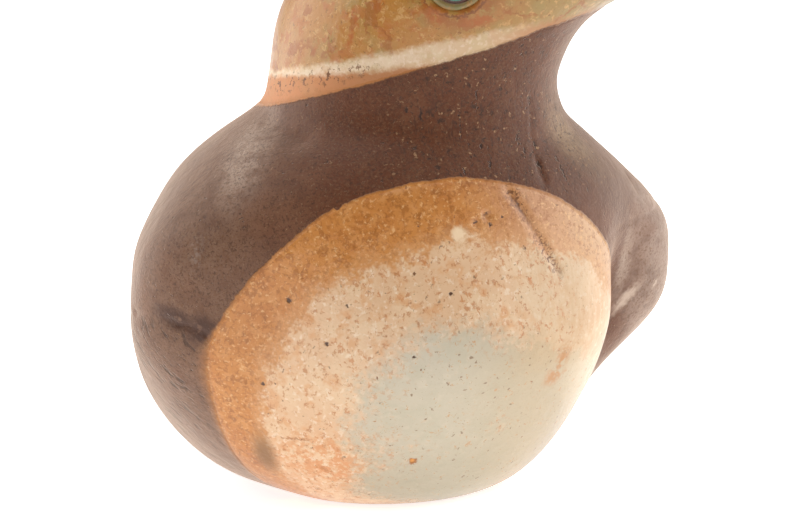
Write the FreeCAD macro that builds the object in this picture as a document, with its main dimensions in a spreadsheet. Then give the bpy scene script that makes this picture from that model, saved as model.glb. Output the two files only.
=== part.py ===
"""Hollow stoneware bird: two luted body halves, head, bill, tail, eyes and two dipped glazes.

Units are millimetres. The foot stands on the plane z = 0 with the origin at its centre.
The bird faces -Y, its left side is +X, and its head looks along +X, turned by head_turn towards -Y.
"""
import FreeCAD, Part
import math
import os
from FreeCAD import Placement, Rotation, Vector

doc = FreeCAD.newDocument("bird")
sheet = doc.addObject("Spreadsheet::Sheet", "sizes")

# Driving dimensions: alias, value, meaning. Lengths in mm, angles in degrees.
SIZES = [
    ("foot_radius", 25.0, "outer radius of the flat foot"),
    ("body_height", 80.0, "table to the root of the neck"),
    ("trunk_half_width", 51.0, "body without the wings, mid-plane to side"),
    ("breast_reach", 50.5, "body, from the middle of its level to the breast"),
    ("rump_reach", 55.0, "body, from the middle of its level to the rump"),
    ("wing_swell", 11.6, "how far the folded wings swell out of the trunk"),
    ("wing_valley", 5.0, "depth of the valley between the belly and the left wing"),
    ("breast_flank", 2.6, "swell of the belly beside that valley"),
    ("rump_swell", 13.0, "how far the rump swells out to carry the tail"),
    ("body_lean", 13.0, "how far the neck's axis stands in front of the foot's centre"),
    ("body_sway", 1.6, "how far the lower body sways to the bird's right"),
    ("head_turn", 22.0, "turn of the head, from looking straight along +X towards -Y"),
    ("head_reach", 62.5, "neck's axis to the tip of the bill"),
    ("head_rise", 54.8, "root of the neck to the crown"),
    ("head_half_width", 28.5, "head, mid-plane to cheek"),
    ("clay_wall", 5.0, "thickness of the hollow walls"),
    ("floor_thickness", 6.5, "thickness of the floor above the foot"),
    ("vent_radius", 4.0, "firing vent through the floor"),
    ("vent_back", 12.0, "vent's centre behind the foot's centre"),
    ("body_seam_height", 52.0, "joint of bowl and back shell at the mid-plane"),
    ("body_seam_roll", 8.5, "tilt of that joint, higher on the left wing"),
    ("neck_seam_rise", 6.0, "joint of back shell and head, above the root of the neck"),
    ("slip_thickness", 0.8, "luting slip squeezed between two joined pieces"),
    ("glaze_thickness", 0.5, "fired glaze coat"),
    ("belly_dip_front", 11.3, "where the belly glaze's dip line meets the table, in front of the centre"),
    ("belly_dip_tilt", 25.0, "lean of that line from upright, forward as it rises"),
    ("belly_dip_turn", 3.7, "turn of that line towards the right wing"),
    ("glaze_foot_margin", 3.0, "height above the table left free of glaze"),
    ("head_dip_rise", 14.0, "head glaze's dip line at the neck's axis, above the root of the neck"),
    ("head_dip_tilt", 16.1, "rise of that line towards the bill"),
    ("head_dip_roll", 4.8, "rise of that line towards the right cheek"),
    ("eye_forward", 11.2, "eye's centre, from the neck's axis towards the bill"),
    ("eye_rise", 36.4, "eye's centre above the root of the neck"),
    ("eye_ring_radius", 5.6, "middle of the clay coil round the eye"),
    ("eye_coil_radius", 0.9, "thickness of that coil, as a radius"),
    ("eye_sink", 0.6, "how deep the middle of the coil lies under the cheek's tangent"),
    ("eye_dome_radius", 13.0, "curve of the glass pool's face"),
    ("eye_pool_depth", 1.6, "depth of the glass pool"),
    ("tail_length", 44.0, "tail, from inside the rump to its tip"),
    ("tail_half_width", 19.0, "tail's half width at its root"),
    ("tail_half_depth", 13.0, "tail's half thickness at its root"),
    ("tail_root_back", 42.0, "tail's root behind the foot's centre"),
    ("tail_root_height", 47.0, "tail's root above the table"),
    ("tail_rise", 16.0, "upward slope of the tail"),
    ("overrun", 260.0, "reach of every cutting block past the figure"),
]
for line, (alias, value, meaning) in enumerate(SIZES, start=1):
    sheet.set(f"A{line}", meaning)
    sheet.set(f"B{line}", str(value))
    sheet.setAlias(f"B{line}", alias)
doc.recompute()


def size(alias):
    return float(sheet.get(alias))


# One row per level of the body above its foot, as shares of BODY_UNITS. A minus lean is towards
# the rump, and the last level lies inside the neck and only guides the curves below it.
BODY_UNITS = [
    "body_height", "trunk_half_width", "breast_reach", "rump_reach", "wing_swell", "wing_valley",
    "rump_swell", "body_lean", "body_sway",
]
BODY_LEVEL_SHARES = [
    (0.06, 0.70, 0.73, 0.66, 0.00, 0.00, 0.00, -0.20, 0.50),
    (0.175, 0.87, 0.91, 0.835, 0.00, 0.00, 0.00, -0.30, 0.95),
    (0.325, 0.97, 1.00, 0.945, 0.40, 0.40, 0.15, -0.10, 0.60),
    (0.475, 0.99, 1.00, 1.00, 0.95, 1.00, 0.60, 0.29, -0.40),
    (0.625, 1.00, 0.93, 0.98, 1.00, 0.60, 1.00, 0.51, -0.50),
    (0.75, 1.04, 0.84, 0.93, 0.74, 0.10, 0.70, 0.66, -0.50),
    (0.875, 0.98, 0.74, 0.87, 0.17, 0.00, 0.20, 0.88, -0.60),
    (1.00, 0.765, 0.61, 0.71, 0.00, 0.00, 0.00, 1.00, -0.50),
    (1.075, 0.65, 0.55, 0.51, 0.00, 0.00, 0.00, 1.00, -0.90),
]
# One row per section of neck and head, as shares of HEAD_UNITS: nape point, throat point and half
# width. Each point lies along the bill's heading, then up.
HEAD_UNITS = ["head_reach", "head_rise", "head_reach", "head_rise", "head_half_width"]
HEAD_SECTION_SHARES = [
    (-0.50, 0.11, 0.55, 0.11, 0.98),
    (-0.46, 0.20, 0.535, 0.185, 0.965),
    (-0.44, 0.355, 0.547, 0.265, 0.965),
    (-0.40, 0.52, 0.58, 0.355, 0.98),
    (-0.29, 0.71, 0.63, 0.435, 1.00),
    (-0.095, 0.90, 0.695, 0.495, 0.98),
    (0.145, 1.00, 0.76, 0.537, 0.895),
    (0.385, 0.96, 0.816, 0.564, 0.72),
    (0.59, 0.856, 0.867, 0.588, 0.51),
    (0.776, 0.774, 0.915, 0.613, 0.315),
    (0.92, 0.72, 0.963, 0.639, 0.16),
    (0.98, 0.702, 1.00, 0.655, 0.09),
]
# One row per section of the tail: shares of tail_length, tail_half_width and tail_half_depth.
TAIL_SECTION_SHARES = [
    (0.00, 1.00, 1.00),
    (0.30, 0.92, 0.90),
    (0.55, 0.76, 0.62),
    (0.80, 0.66, 0.42),
    (0.94, 0.54, 0.28),
    (1.00, 0.34, 0.14),
]
BODY_STEPS = 24
BODY_STEPS_IN_NECK = 2
HEAD_STEPS = 22
BILL_ROOT_STEP = 16
CAVITY_HEAD_STEPS = 15
SECTION_POINTS = 36
WING_ANGLE = 9
LEFT_WING_FRONT_SPREAD = 24
RIGHT_WING_FRONT_SPREAD = 34
WING_REAR_SPREAD = 34
VALLEY_ANGLE = 29
VALLEY_SPREAD = 16
FLANK_ANGLE = 47
FLANK_SPREAD = 20
RUMP_SPREAD = 34

HEADING = Vector(math.cos(math.radians(size("head_turn"))), -math.sin(math.radians(size("head_turn"))), 0)
SIDEWAYS = Vector(-HEADING.y, HEADING.x, 0)
UP = Vector(0, 0, 1)
NECK_AXIS = Vector(0, -size("body_lean"), 0)


def swell(angle, centre, spread_before, spread_after):
    """1 at the centre, falling smoothly to 0 over the spread on either side."""
    gap = (angle - centre + 180) % 360 - 180
    spread = spread_after if gap > 0 else spread_before
    return math.cos(math.radians(90 * gap / spread)) ** 2 if abs(gap) < spread else 0


def closed_wire(points):
    """A smooth loop through the points, with even knots so that a loft stays light."""
    knots = [step / len(points) for step in range(len(points) + 1)]
    curve = Part.BSplineCurve()
    curve.interpolate(points, PeriodicFlag=True, Parameters=knots)
    return Part.Wire(curve.toShape())


def smooth_rows(rows, places, count):
    """Even steps of smooth curves through the rows; places tells how far apart two rows lie."""
    knots = [0]
    for before, after in zip(places, places[1:]):
        knots.append(knots[-1] + (after - before).Length)
    columns = []
    for numbers in zip(*rows):
        curve = Part.BSplineCurve()
        curve.interpolate([Vector(number, knot, 0) for number, knot in zip(numbers, knots)], Parameters=knots)
        columns.append([curve.value(knots[-1] * step / (count - 1)).x for step in range(count)])
    return list(zip(*columns))


def section_angles():
    """Angles from +X, starting at the head's heading, so that all sections start in line."""
    return [360 * step / SECTION_POINTS - size("head_turn") for step in range(SECTION_POINTS)]


def body_rows():
    """Levels in mm: height, side, breast, rump, swell of wings, valley, swell of rump, lean, sway."""
    units = [size(alias) for alias in BODY_UNITS]
    foot = [0, size("foot_radius"), size("foot_radius"), size("foot_radius"), 0, 0, 0, 0, 0]
    rows = [foot] + [[share * unit for share, unit in zip(shares, units)] for shares in BODY_LEVEL_SHARES]
    places = [Vector(row[1], 0, row[0]) for row in rows]
    return smooth_rows(rows, places, BODY_STEPS)


def body_wire(row, inset):
    height, side, breast, rump, wing, valley, tail, lean, sway = row
    flank = valley / size("wing_valley") * size("breast_flank")
    centre = Vector(-sway, -lean, height)
    points = []
    for angle in section_angles():
        across = math.cos(math.radians(angle))
        along = math.sin(math.radians(angle))
        radius = 1 / math.hypot(across / side, along / (rump if along > 0 else breast))
        radius += wing * swell(angle, -WING_ANGLE, LEFT_WING_FRONT_SPREAD, WING_REAR_SPREAD)
        radius += wing * swell(180 - angle, -WING_ANGLE, RIGHT_WING_FRONT_SPREAD, WING_REAR_SPREAD)
        radius -= valley * swell(angle, -VALLEY_ANGLE, VALLEY_SPREAD, VALLEY_SPREAD)
        radius += flank * swell(angle, -FLANK_ANGLE, FLANK_SPREAD, FLANK_SPREAD)
        radius += tail * swell(angle, 90, RUMP_SPREAD, RUMP_SPREAD)
        points.append(centre + Vector(across, along, 0) * (radius - inset))
    return closed_wire(points)


def head_point(forward, rise):
    """A point of the head's mid-plane, from the neck's axis and the root of the neck."""
    return NECK_AXIS + HEADING * forward + UP * (size("body_height") + rise)


def head_rows():
    """Sections of neck and head in mm: nape forward and up, throat forward and up, half width."""
    units = [size(alias) for alias in HEAD_UNITS]
    rows = [[share * unit for share, unit in zip(shares, units)] for shares in HEAD_SECTION_SHARES]
    places = [Vector(row[0] + row[2], 0, row[1] + row[3]) * 0.5 for row in rows]
    return smooth_rows(rows, places, HEAD_STEPS)


def head_wire(row, inset):
    nape = head_point(row[0], row[1])
    throat = head_point(row[2], row[3])
    centre = (nape + throat) * 0.5
    reach = (throat - nape) * 0.5
    reach = reach * (1 - inset / reach.Length)
    half_width = row[4] - inset
    points = []
    for step in range(SECTION_POINTS):
        angle = 2 * math.pi * step / SECTION_POINTS
        points.append(centre + reach * math.cos(angle) + SIDEWAYS * (half_width * math.sin(angle)))
    return closed_wire(points)


def whole_form(label, inset, head_steps):
    """The smooth figure without its tail, or the same drawn in by inset."""
    wires = [body_wire(row, inset) for row in body_rows()[:-BODY_STEPS_IN_NECK]]
    wires += [head_wire(row, inset) for row in head_rows()[:head_steps]]
    form = doc.addObject("Part::Feature", label)
    form.Shape = Part.makeLoft(wires, True, False)
    return form


def block(label, radius, height):
    """A cylinder on its own axis, its sizes given as expressions of the sheet."""
    cylinder = doc.addObject("Part::Cylinder", label)
    cylinder.setExpression("Radius", radius)
    cylinder.setExpression("Height", height)
    return cylinder


def side_of_plane(label, point, outward, height="sizes.overrun"):
    """A block whose flat end lies in the plane through point and which fills the side outward."""
    cutter = block(label, "sizes.overrun", height)
    cutter.Placement = Placement(point, Rotation(UP, outward))
    return cutter


def cut(label, base, tool):
    result = doc.addObject("Part::Cut", label)
    result.Base = base
    result.Tool = tool
    return result


def common(label, *shapes):
    result = doc.addObject("Part::MultiCommon", label)
    result.Shapes = list(shapes)
    return result


def fuse(label, *shapes):
    result = doc.addObject("Part::MultiFuse", label)
    result.Shapes = list(shapes)
    return result


# Construction: the outer form, its core under the glaze and its cavity.
outer_form = whole_form("outer_form", 0, HEAD_STEPS)
glaze_core = whole_form("glaze_core", size("glaze_thickness"), HEAD_STEPS)
cavity_form = whole_form("cavity_form", size("clay_wall"), CAVITY_HEAD_STEPS)
above_floor = side_of_plane("above_floor", UP * size("floor_thickness"), UP)
cavity = common("cavity", cavity_form, above_floor)
clay = cut("clay", outer_form, cavity)

# Construction: the planes of the joints.
roll = math.radians(size("body_seam_roll"))
seam_up = Vector(-math.sin(roll), 0, math.cos(roll))
seam_low = UP * size("body_seam_height")
seam_high = seam_low + seam_up * size("slip_thickness")
neck_low = head_point(0, size("neck_seam_rise"))
neck_high = neck_low + UP * size("slip_thickness")
bill_row = [sum(pair) / 2 for pair in zip(*head_rows()[BILL_ROOT_STEP:BILL_ROOT_STEP + 2])]
bill_nape = head_point(bill_row[0], bill_row[1])
bill_throat = head_point(bill_row[2], bill_row[3])
bill_forward = SIDEWAYS.cross(bill_nape - bill_throat)
bill_forward.normalize()
if bill_forward.dot(HEADING) < 0:
    bill_forward = bill_forward * -1

# Construction: the planes of the two dip lines, each with its direction out of the bare clay.
dip_turn = Rotation(UP, -size("belly_dip_turn"))
belly_outward = dip_turn.multVec(Rotation(Vector(1, 0, 0), size("belly_dip_tilt")).multVec(Vector(0, -1, 0)))
belly_point = Vector(0, -size("belly_dip_front"), 0)
head_tilt = Rotation(SIDEWAYS, -size("head_dip_tilt"))
head_outward = Rotation(HEADING, -size("head_dip_roll")).multVec(head_tilt.multVec(UP))
head_dip_point = head_point(0, size("head_dip_rise"))


def belly_glaze():
    dipped = common(
        "belly_dipped",
        outer_form,
        side_of_plane("belly_dip", belly_point, belly_outward),
        side_of_plane("foot_margin", UP * size("glaze_foot_margin"), UP),
    )
    return cut("belly_glaze", dipped, glaze_core)


def head_glaze(eyes):
    dipped = common(
        "head_dipped",
        outer_form,
        side_of_plane("head_dip", head_dip_point, head_outward),
        side_of_plane("glaze_behind_bill", bill_nape, bill_forward * -1),
    )
    coat = cut("head_coat", dipped, glaze_core)
    return cut("head_glaze", coat, eyes)


def belly_bowl(glaze):
    """The lower half, with its flat foot and the vent through the floor."""
    lower = common("lower_clay", clay, side_of_plane("below_seam", seam_low, seam_up * -1))
    vent = block("vent", "sizes.vent_radius", "sizes.floor_thickness * 2")
    vent.setExpression("Placement.Base.y", "sizes.vent_back")
    vent.setExpression("Placement.Base.z", "-sizes.floor_thickness / 2")
    return cut("belly_bowl", lower, fuse("bowl_cuts", vent, glaze))


def back_shell(glaze):
    """The upper half with the wings' shoulders and the neck's collar."""
    upper = common(
        "upper_clay",
        clay,
        side_of_plane("above_seam", seam_high, seam_up),
        side_of_plane("below_neck", neck_low, UP * -1),
    )
    return cut("back_shell", upper, glaze)


def body_slip_seam(glaze):
    slab = side_of_plane("body_slip_slab", seam_low, seam_up, "sizes.slip_thickness")
    return cut("body_slip_seam", common("body_slip", clay, slab), glaze)


def neck_slip_seam():
    slab = side_of_plane("neck_slip_slab", neck_low, UP, "sizes.slip_thickness")
    return common("neck_slip_seam", clay, slab)


def head_shell(glaze, eyes):
    upper = common(
        "head_clay",
        clay,
        side_of_plane("above_neck", neck_high, UP),
        side_of_plane("behind_bill", bill_nape, bill_forward * -1),
    )
    return cut("head_shell", upper, fuse("head_cuts", glaze, eyes))


def bill():
    return common("bill", outer_form, side_of_plane("bill_side", bill_nape, bill_forward))


def tail():
    """A flattened wedge that starts inside the rump and narrows to a blunt tip."""
    rise = math.radians(size("tail_rise"))
    backward = Vector(0, math.cos(rise), math.sin(rise))
    across = Vector(1, 0, 0)
    thick = across.cross(backward)
    root = Vector(0, size("tail_root_back"), size("tail_root_height"))
    wires = []
    for along, wide, deep in TAIL_SECTION_SHARES:
        centre = root + backward * (along * size("tail_length"))
        points = []
        for step in range(SECTION_POINTS):
            angle = 2 * math.pi * step / SECTION_POINTS
            wide_way = across * (wide * size("tail_half_width") * math.cos(angle))
            deep_way = thick * (deep * size("tail_half_depth") * math.sin(angle))
            points.append(centre + wide_way + deep_way)
        wires.append(closed_wire(points))
    wedge = doc.addObject("Part::Feature", "tail_wedge")
    wedge.Shape = Part.makeLoft(wires, True, False)
    return cut("tail", wedge, outer_form)


def eye_seat(side):
    """Where the eye's coil lies on one cheek: the point on the surface, drawn in by eye_sink."""
    inside = head_point(size("eye_forward"), size("eye_rise"))
    ray = Part.makeLine(inside, inside + SIDEWAYS * (side * size("overrun")))
    chord = ray.common(outer_form.Shape)
    point = max((vertex.Point for vertex in chord.Vertexes), key=lambda end: (end - inside).Length)
    return point - SIDEWAYS * (side * size("eye_sink"))


def eye_coil(label):
    coil = doc.addObject("Part::Torus", label)
    coil.setExpression("Radius1", "sizes.eye_ring_radius")
    coil.setExpression("Radius2", "sizes.eye_coil_radius")
    return coil


def eye(name, side):
    """A clay coil pressed on the cheek and a domed pool of glass inside it."""
    seat = Placement(eye_seat(side), Rotation(UP, SIDEWAYS * side))
    coil = eye_coil(f"eye_ring_{name}")
    coil.Placement = seat
    dome = doc.addObject("Part::Sphere", f"dome_{name}")
    dome.setExpression("Radius", "sizes.eye_dome_radius")
    dome.setExpression("Placement.Base.z", "sizes.eye_coil_radius - sizes.eye_dome_radius")
    post = block(f"post_{name}", "sizes.eye_ring_radius", "sizes.eye_pool_depth * 2")
    post.setExpression("Placement.Base.z", "-sizes.eye_pool_depth")
    pool = cut(f"eye_pool_{name}", common(f"pool_{name}", dome, post), eye_coil(f"rim_{name}"))
    pool.Placement = seat
    socket = block(f"socket_{name}", "sizes.eye_ring_radius", "sizes.eye_pool_depth + sizes.eye_ring_radius")
    socket.Placement = seat.multiply(Placement(UP * -size("eye_pool_depth"), Rotation()))
    return coil, pool, socket


eye_ring_right, eye_pool_right, socket_right = eye("right", -1)
eye_ring_left, eye_pool_left, socket_left = eye("left", 1)
eyes = fuse("eyes", eye_ring_right, socket_right, eye_ring_left, socket_left)
belly_coat = belly_glaze()
head_coat = head_glaze(eyes)
sub_parts = [
    belly_bowl(belly_coat),
    body_slip_seam(belly_coat),
    back_shell(belly_coat),
    tail(),
    neck_slip_seam(),
    head_shell(head_coat, eyes),
    bill(),
    belly_coat,
    head_coat,
    eye_ring_right,
    eye_pool_right,
    eye_ring_left,
    eye_pool_left,
]
doc.recompute()

faults = [item.Label for item in doc.Objects if "Invalid" in item.State or "Error" in item.State]
faults += [piece.Label for piece in sub_parts if piece.Shape.isNull() or not piece.Shape.isValid()]
if faults:
    raise SystemExit(f"not built: {', '.join(faults)}")

os.makedirs("parts", exist_ok=True)
for piece in sub_parts:
    piece.Shape.exportStep(os.path.join("parts", f"{piece.Label}.step"))
    print(f"{piece.Label}: {len(piece.Shape.Solids)} solid(s), {piece.Shape.Volume / 1000:.2f} cm3")
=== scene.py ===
"""Looks of a hollow stoneware bird: slip, dipped glazes, glass eyes, daylight tent and camera."""
import math

import bpy
import numpy as np
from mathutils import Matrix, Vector


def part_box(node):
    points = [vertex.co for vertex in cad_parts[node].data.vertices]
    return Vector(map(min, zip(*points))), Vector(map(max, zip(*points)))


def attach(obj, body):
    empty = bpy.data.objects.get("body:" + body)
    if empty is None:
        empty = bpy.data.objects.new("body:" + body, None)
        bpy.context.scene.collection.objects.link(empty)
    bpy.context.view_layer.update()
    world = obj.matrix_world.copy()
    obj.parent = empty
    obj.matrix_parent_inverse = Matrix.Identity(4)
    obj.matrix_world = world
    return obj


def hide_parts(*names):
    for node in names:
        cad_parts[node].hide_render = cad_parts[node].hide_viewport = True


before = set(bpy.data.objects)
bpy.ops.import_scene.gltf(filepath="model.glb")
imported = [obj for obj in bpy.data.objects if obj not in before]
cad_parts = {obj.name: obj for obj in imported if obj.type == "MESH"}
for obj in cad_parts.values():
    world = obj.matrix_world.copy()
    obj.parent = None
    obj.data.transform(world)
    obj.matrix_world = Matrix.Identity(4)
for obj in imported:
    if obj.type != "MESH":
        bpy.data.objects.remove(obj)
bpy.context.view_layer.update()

MM = 0.001
CLAY_NODES = [
    "belly_bowl", "body_slip_seam", "back_shell", "tail", "neck_slip_seam", "head_shell", "bill",
    "belly_glaze", "head_glaze",
]

# The figure's own directions: up, out of its left cheek, square to the body's seam, out of tail and bill.
UP = Vector((0, 0, 1))
HEAD_TURN = math.radians(22)
CHEEK = Vector((math.sin(HEAD_TURN), math.cos(HEAD_TURN), 0))
SEAM_ROLL = math.radians(8.5)
SEAM_UP = Vector((-math.sin(SEAM_ROLL), 0, math.cos(SEAM_ROLL)))
TAIL_TILT = math.radians(16)
TAIL_WAY = Vector((0, math.cos(TAIL_TILT), math.sin(TAIL_TILT)))
BILL_WAY = Vector((0.598, -0.242, 0.764)).normalized()

# Its planes: a plane is its unit normal and its offset in mm.
BODY_SEAM_HEIGHT, NECK_SEAM_HEIGHT, SLIP_THICKNESS = 52, 86, 0.8
BODY_SEAM_LOW = (SEAM_UP, BODY_SEAM_HEIGHT * SEAM_UP.z)
BODY_SEAM_HIGH = (SEAM_UP, BODY_SEAM_HEIGHT * SEAM_UP.z + SLIP_THICKNESS)
NECK_SEAM_LOW = (UP, NECK_SEAM_HEIGHT)
NECK_SEAM_HIGH = (UP, NECK_SEAM_HEIGHT + SLIP_THICKNESS)
BILL_ROOT = (BILL_WAY, 123.43)
TAIL_ROOT = (TAIL_WAY, 71.8)
BELLY_DIP = (Vector((-0.0585, -0.9044, -0.4226)).normalized(), 10.2)
BELLY_DIP_LEFT = (Vector((0.0061, -0.9084, -0.4181)).normalized(), 8.94)
HEAD_DIP = (Vector((-0.227, 0.178, 0.957)).normalized(), 87.7)
HEAD_STRIPE = (Vector((-0.153, 0.159, 0.975)).normalized(), 93.2)
FOOT_MARGIN = (UP, 1.0)

# The eyes' middles and, in mm, the radius of the coil, of the roll that it is bent from and of the pool.
EYES = [sum(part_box(node), Vector()) / 2 / MM for node in ("eye_ring_right", "eye_ring_left")]
COIL_RADIUS, ROLL_RADIUS, POOL_RADIUS = 5.6, 0.88, 4.95
# The size and the reach of the bumps that rolling by hand leaves on the coil, in mm.
ROLL_BUMP, ROLL_BUMP_REACH = 4, 0.5
# How flat the pool is above and below, and the radius, width and height of its rim on the coil, in mm.
POOL_RISE, POOL_SINK = 0.17, 0.3
POOL_RIM, POOL_RIM_WIDTH, POOL_RIM_HEIGHT = 4.9, 0.5, 0.25
# The hollow under the pool and the welt of clay round the coil, in mm.
HOLLOW_FLOOR, HOLLOW_DEPTH, EYE_REACH = 4.3, 1.7, 6
WELT_RADIUS, WELT_WIDTH, WELT_HEIGHT = 6.7, 0.8, 0.3

# The grain that the clay's skin is grown with, in mm, and how often it is smoothed.
SKIN_GRAIN, SKIN_SMOOTHING = 0.78, 25
# What lies lower than this, in mm, is pressed flat by the shelf that the bird was fired on.
FOOT_PRESS = 0.45
# A glaze coat's thickness, how much lower its thin edge is, and how far past the dip line, in mm,
# the clay under it and the coat itself come to their full height.
GLAZE_THICKNESS, EDGE_DROP = 0.5, 0.2
CLAY_STEP, COAT_STEP = (0.2, 1.6), (0, 1.2)

# The photograph's view: the way from the figure to the camera, the distance and a pixel's size in mm,
# the frame's width, and the pixels of the frame's middle and of the foot's middle.
AZIMUTH, ELEVATION = math.radians(-22), math.radians(12)
BACK = Vector((
    math.sin(AZIMUTH) * math.cos(ELEVATION), -math.cos(AZIMUTH) * math.cos(ELEVATION), math.sin(ELEVATION)))
RIGHT = Vector((math.cos(AZIMUTH), math.sin(AZIMUTH), 0))
VIEW_UP = BACK.cross(RIGHT)
DISTANCE, PIXEL = 900, 0.2222
FRAME_WIDTH = 800
MIDDLE_PIXEL = (400, 266)
FOOT_PIXEL = (379, 475)


# Shaping


def only(piece):
    """Selects one piece and nothing else."""
    bpy.ops.object.select_all(action="DESELECT")
    piece.select_set(True)
    bpy.context.view_layer.objects.active = piece


def shape(piece, kind, **settings):
    """Adds a modifier with its settings and applies it."""
    only(piece)
    modifier = piece.modifiers.new(kind.title(), kind)
    for name, value in settings.items():
        setattr(modifier, name, value)
    bpy.ops.object.modifier_apply(modifier=modifier.name)


def new_piece(name, mesh):
    """Puts an object round a mesh."""
    piece = bpy.data.objects.new(name, mesh)
    bpy.context.scene.collection.objects.link(piece)
    return piece


def points_of(piece):
    """Places and outward directions of a mesh's vertices, in mm."""
    mesh = piece.data
    places = np.empty(len(mesh.vertices) * 3, np.float32)
    mesh.vertices.foreach_get("co", places)
    outward = np.empty(len(mesh.vertices) * 3, np.float32)
    mesh.vertex_normals.foreach_get("vector", outward)
    return places.reshape(-1, 3).astype(float) / MM, outward.reshape(-1, 3).astype(float)


def put_points(piece, places):
    """Moves a mesh's vertices to places in mm."""
    piece.data.vertices.foreach_set("co", (places * MM).astype(np.float32).ravel())
    piece.data.update()


def smooth_step(values, start, end):
    """Values as shares that rise softly from 0 at start to 1 at end."""
    share = np.clip((values - start) / (end - start), 0, 1)
    return share * share * (3 - 2 * share)


def dent(distance, half_width, depth):
    """How deep a soft dent is at a distance from its middle, in mm."""
    return depth * np.exp(-(distance / half_width) ** 2)


def beyond(places, plane):
    """How far each place lies past a plane, in mm."""
    return places @ np.array(plane[0]) - plane[1]


def distance_to_path(places, path):
    """How far each place lies from a line through the path's points, in mm."""
    nearest = np.full(len(places), np.inf)
    for start, end in zip(np.array(path)[:-1], np.array(path)[1:]):
        run = end - start
        share = np.clip((places - start) @ run / (run @ run), 0, 1)
        nearest = np.minimum(nearest, np.linalg.norm(places - start - share[:, None] * run, axis=1))
    return nearest


def grown_together(nodes):
    """One even skin round the solids of several nodes."""
    bpy.ops.object.select_all(action="DESELECT")
    copies = [new_piece("form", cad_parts[node].data.copy()) for node in nodes]
    for copy in copies:
        copy.select_set(True)
    form = copies[0]
    bpy.context.view_layer.objects.active = form
    bpy.ops.object.join()
    bpy.ops.object.mode_set(mode="EDIT")
    bpy.ops.mesh.select_all(action="SELECT")
    bpy.ops.mesh.remove_doubles(threshold=0.001 * MM)
    bpy.ops.object.mode_set(mode="OBJECT")
    shape(form, "REMESH", mode="VOXEL", voxel_size=SKIN_GRAIN * MM)
    shape(form, "SMOOTH", factor=0.5, iterations=SKIN_SMOOTHING)
    return form


# Tool marks on the outside: the line's points, its half width and its depth, in mm.
CREASE = [
    (10.2, -47.5, 71.8), (13.5, -48.3, 67.3), (15.0, -48.5, 64.6), (19.3, -48.9, 57.5), (21.4, -48.9, 54.3),
]
SEAM_LEFT = [(-61.0, -12.7, 44.7), (-57.4, -23.2, 45.1), (-52.5, -27.9, 43.5), (-50.6, -29.1, 42.7)]
SEAM_RIGHT = [(47.0, -31.3, 61.8), (52.1, -28.7, 61.0), (57.3, -25.3, 59.1)]
GROOVES = [
    ([(-28.5, 4.0, 88.0), (-30.8, -8.0, 86.6), (-31.5, -17.0, 84.2), (-28.0, -27.0, 82.0)], 3.5, 1.0),
    (CREASE, 1.0, 0.5),
    (SEAM_LEFT, 0.9, 0.45),
    (SEAM_RIGHT, 1.3, 0.15),
    ([(19.3, -42.3, 77.1), (19.4, -43.6, 75.2), (19.8, -44.8, 72.8)], 0.7, 0.4),
    ([(19.0, -38.6, 89.3), (18.9, -39.9, 81.0), (18.8, -44.4, 74.3)], 0.6, 0.2),
    ([(4.6, -49.3, 67.7), (4.7, -49.4, 67.4)], 0.8, 0.8),
    ([(2.0, -49.6, 66.5), (2.2, -49.6, 66.2)], 0.6, 0.5),
]
# The half width and depth of the body's seam, which the glaze hides on the belly, in mm.
SEAM_GROOVE = (0.9, 0.16)
GLAZE_HIDES = -0.5
# The half width and height of the lip that the crease threw up, and where it lies beside it, in mm.
CREASE_LIP = (0.9, 0.12)
LIP_SHIFT = np.array((1.4, 0, 0))

# Soft thumb presses: the middle, the radius and the depth, in mm.
PRESSES = [
    ((52.0, -24.0, 66.0), 12, 2.0), ((59.0, -20.2, 61.8), 8, 1.0), ((-61.0, -12.0, 59.0), 9, 1.2),
    ((-56.0, -4.5, 62.5), 10, 0.9), ((-58.0, -5.0, 34.0), 12, 0.6), ((-30.5, -10.0, 2.8), 12, 0.9),
    ((38.3, -40.5, 37.0), 11, 1.9),
]


def eye_hollow(places, outward, eye, side):
    """How deep the clay is pressed in under an eye's pool, less the welt round its coil, in mm."""
    away = places - np.array(eye)
    along = away @ np.array(side)
    across = np.linalg.norm(away - along[:, None] * np.array(side), axis=1)
    here = (np.abs(along) < EYE_REACH) & (outward @ np.array(side) > 0.3)
    hollow = HOLLOW_DEPTH * smooth_step(across, COIL_RADIUS, HOLLOW_FLOOR)
    return here * (hollow - dent(across - WELT_RADIUS, WELT_WIDTH, WELT_HEIGHT))


def mark(form):
    """Presses the tool marks and the eyes' hollows into the clay and sets the foot flat."""
    places, outward = points_of(form)
    seam = beyond(places, BODY_SEAM_LOW) - SLIP_THICKNESS / 2
    depth = dent(seam, *SEAM_GROOVE) * (beyond(places, BELLY_DIP) < GLAZE_HIDES)
    for centre, radius, deep in PRESSES:
        depth += dent(np.linalg.norm(places - centre, axis=1), radius, deep)
    for path, half_width, deep in GROOVES:
        depth += dent(distance_to_path(places, path), half_width, deep)
    depth -= dent(distance_to_path(places + LIP_SHIFT, CREASE), *CREASE_LIP)
    for eye, side in zip(EYES, (-CHEEK, CHEEK)):
        depth += eye_hollow(places, outward, eye, side)
    places -= outward * depth[:, None]
    places[:, 2] = np.where(places[:, 2] < FOOT_PRESS, 0, places[:, 2])
    put_points(form, places)


def layered(form, name, heights):
    """A copy of the form with its outer skin moved outwards by heights, in mm."""
    layer = new_piece(name, form.data.copy())
    places, outward = points_of(form)
    put_points(layer, places + outward * heights[:, None])
    return layer


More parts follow.
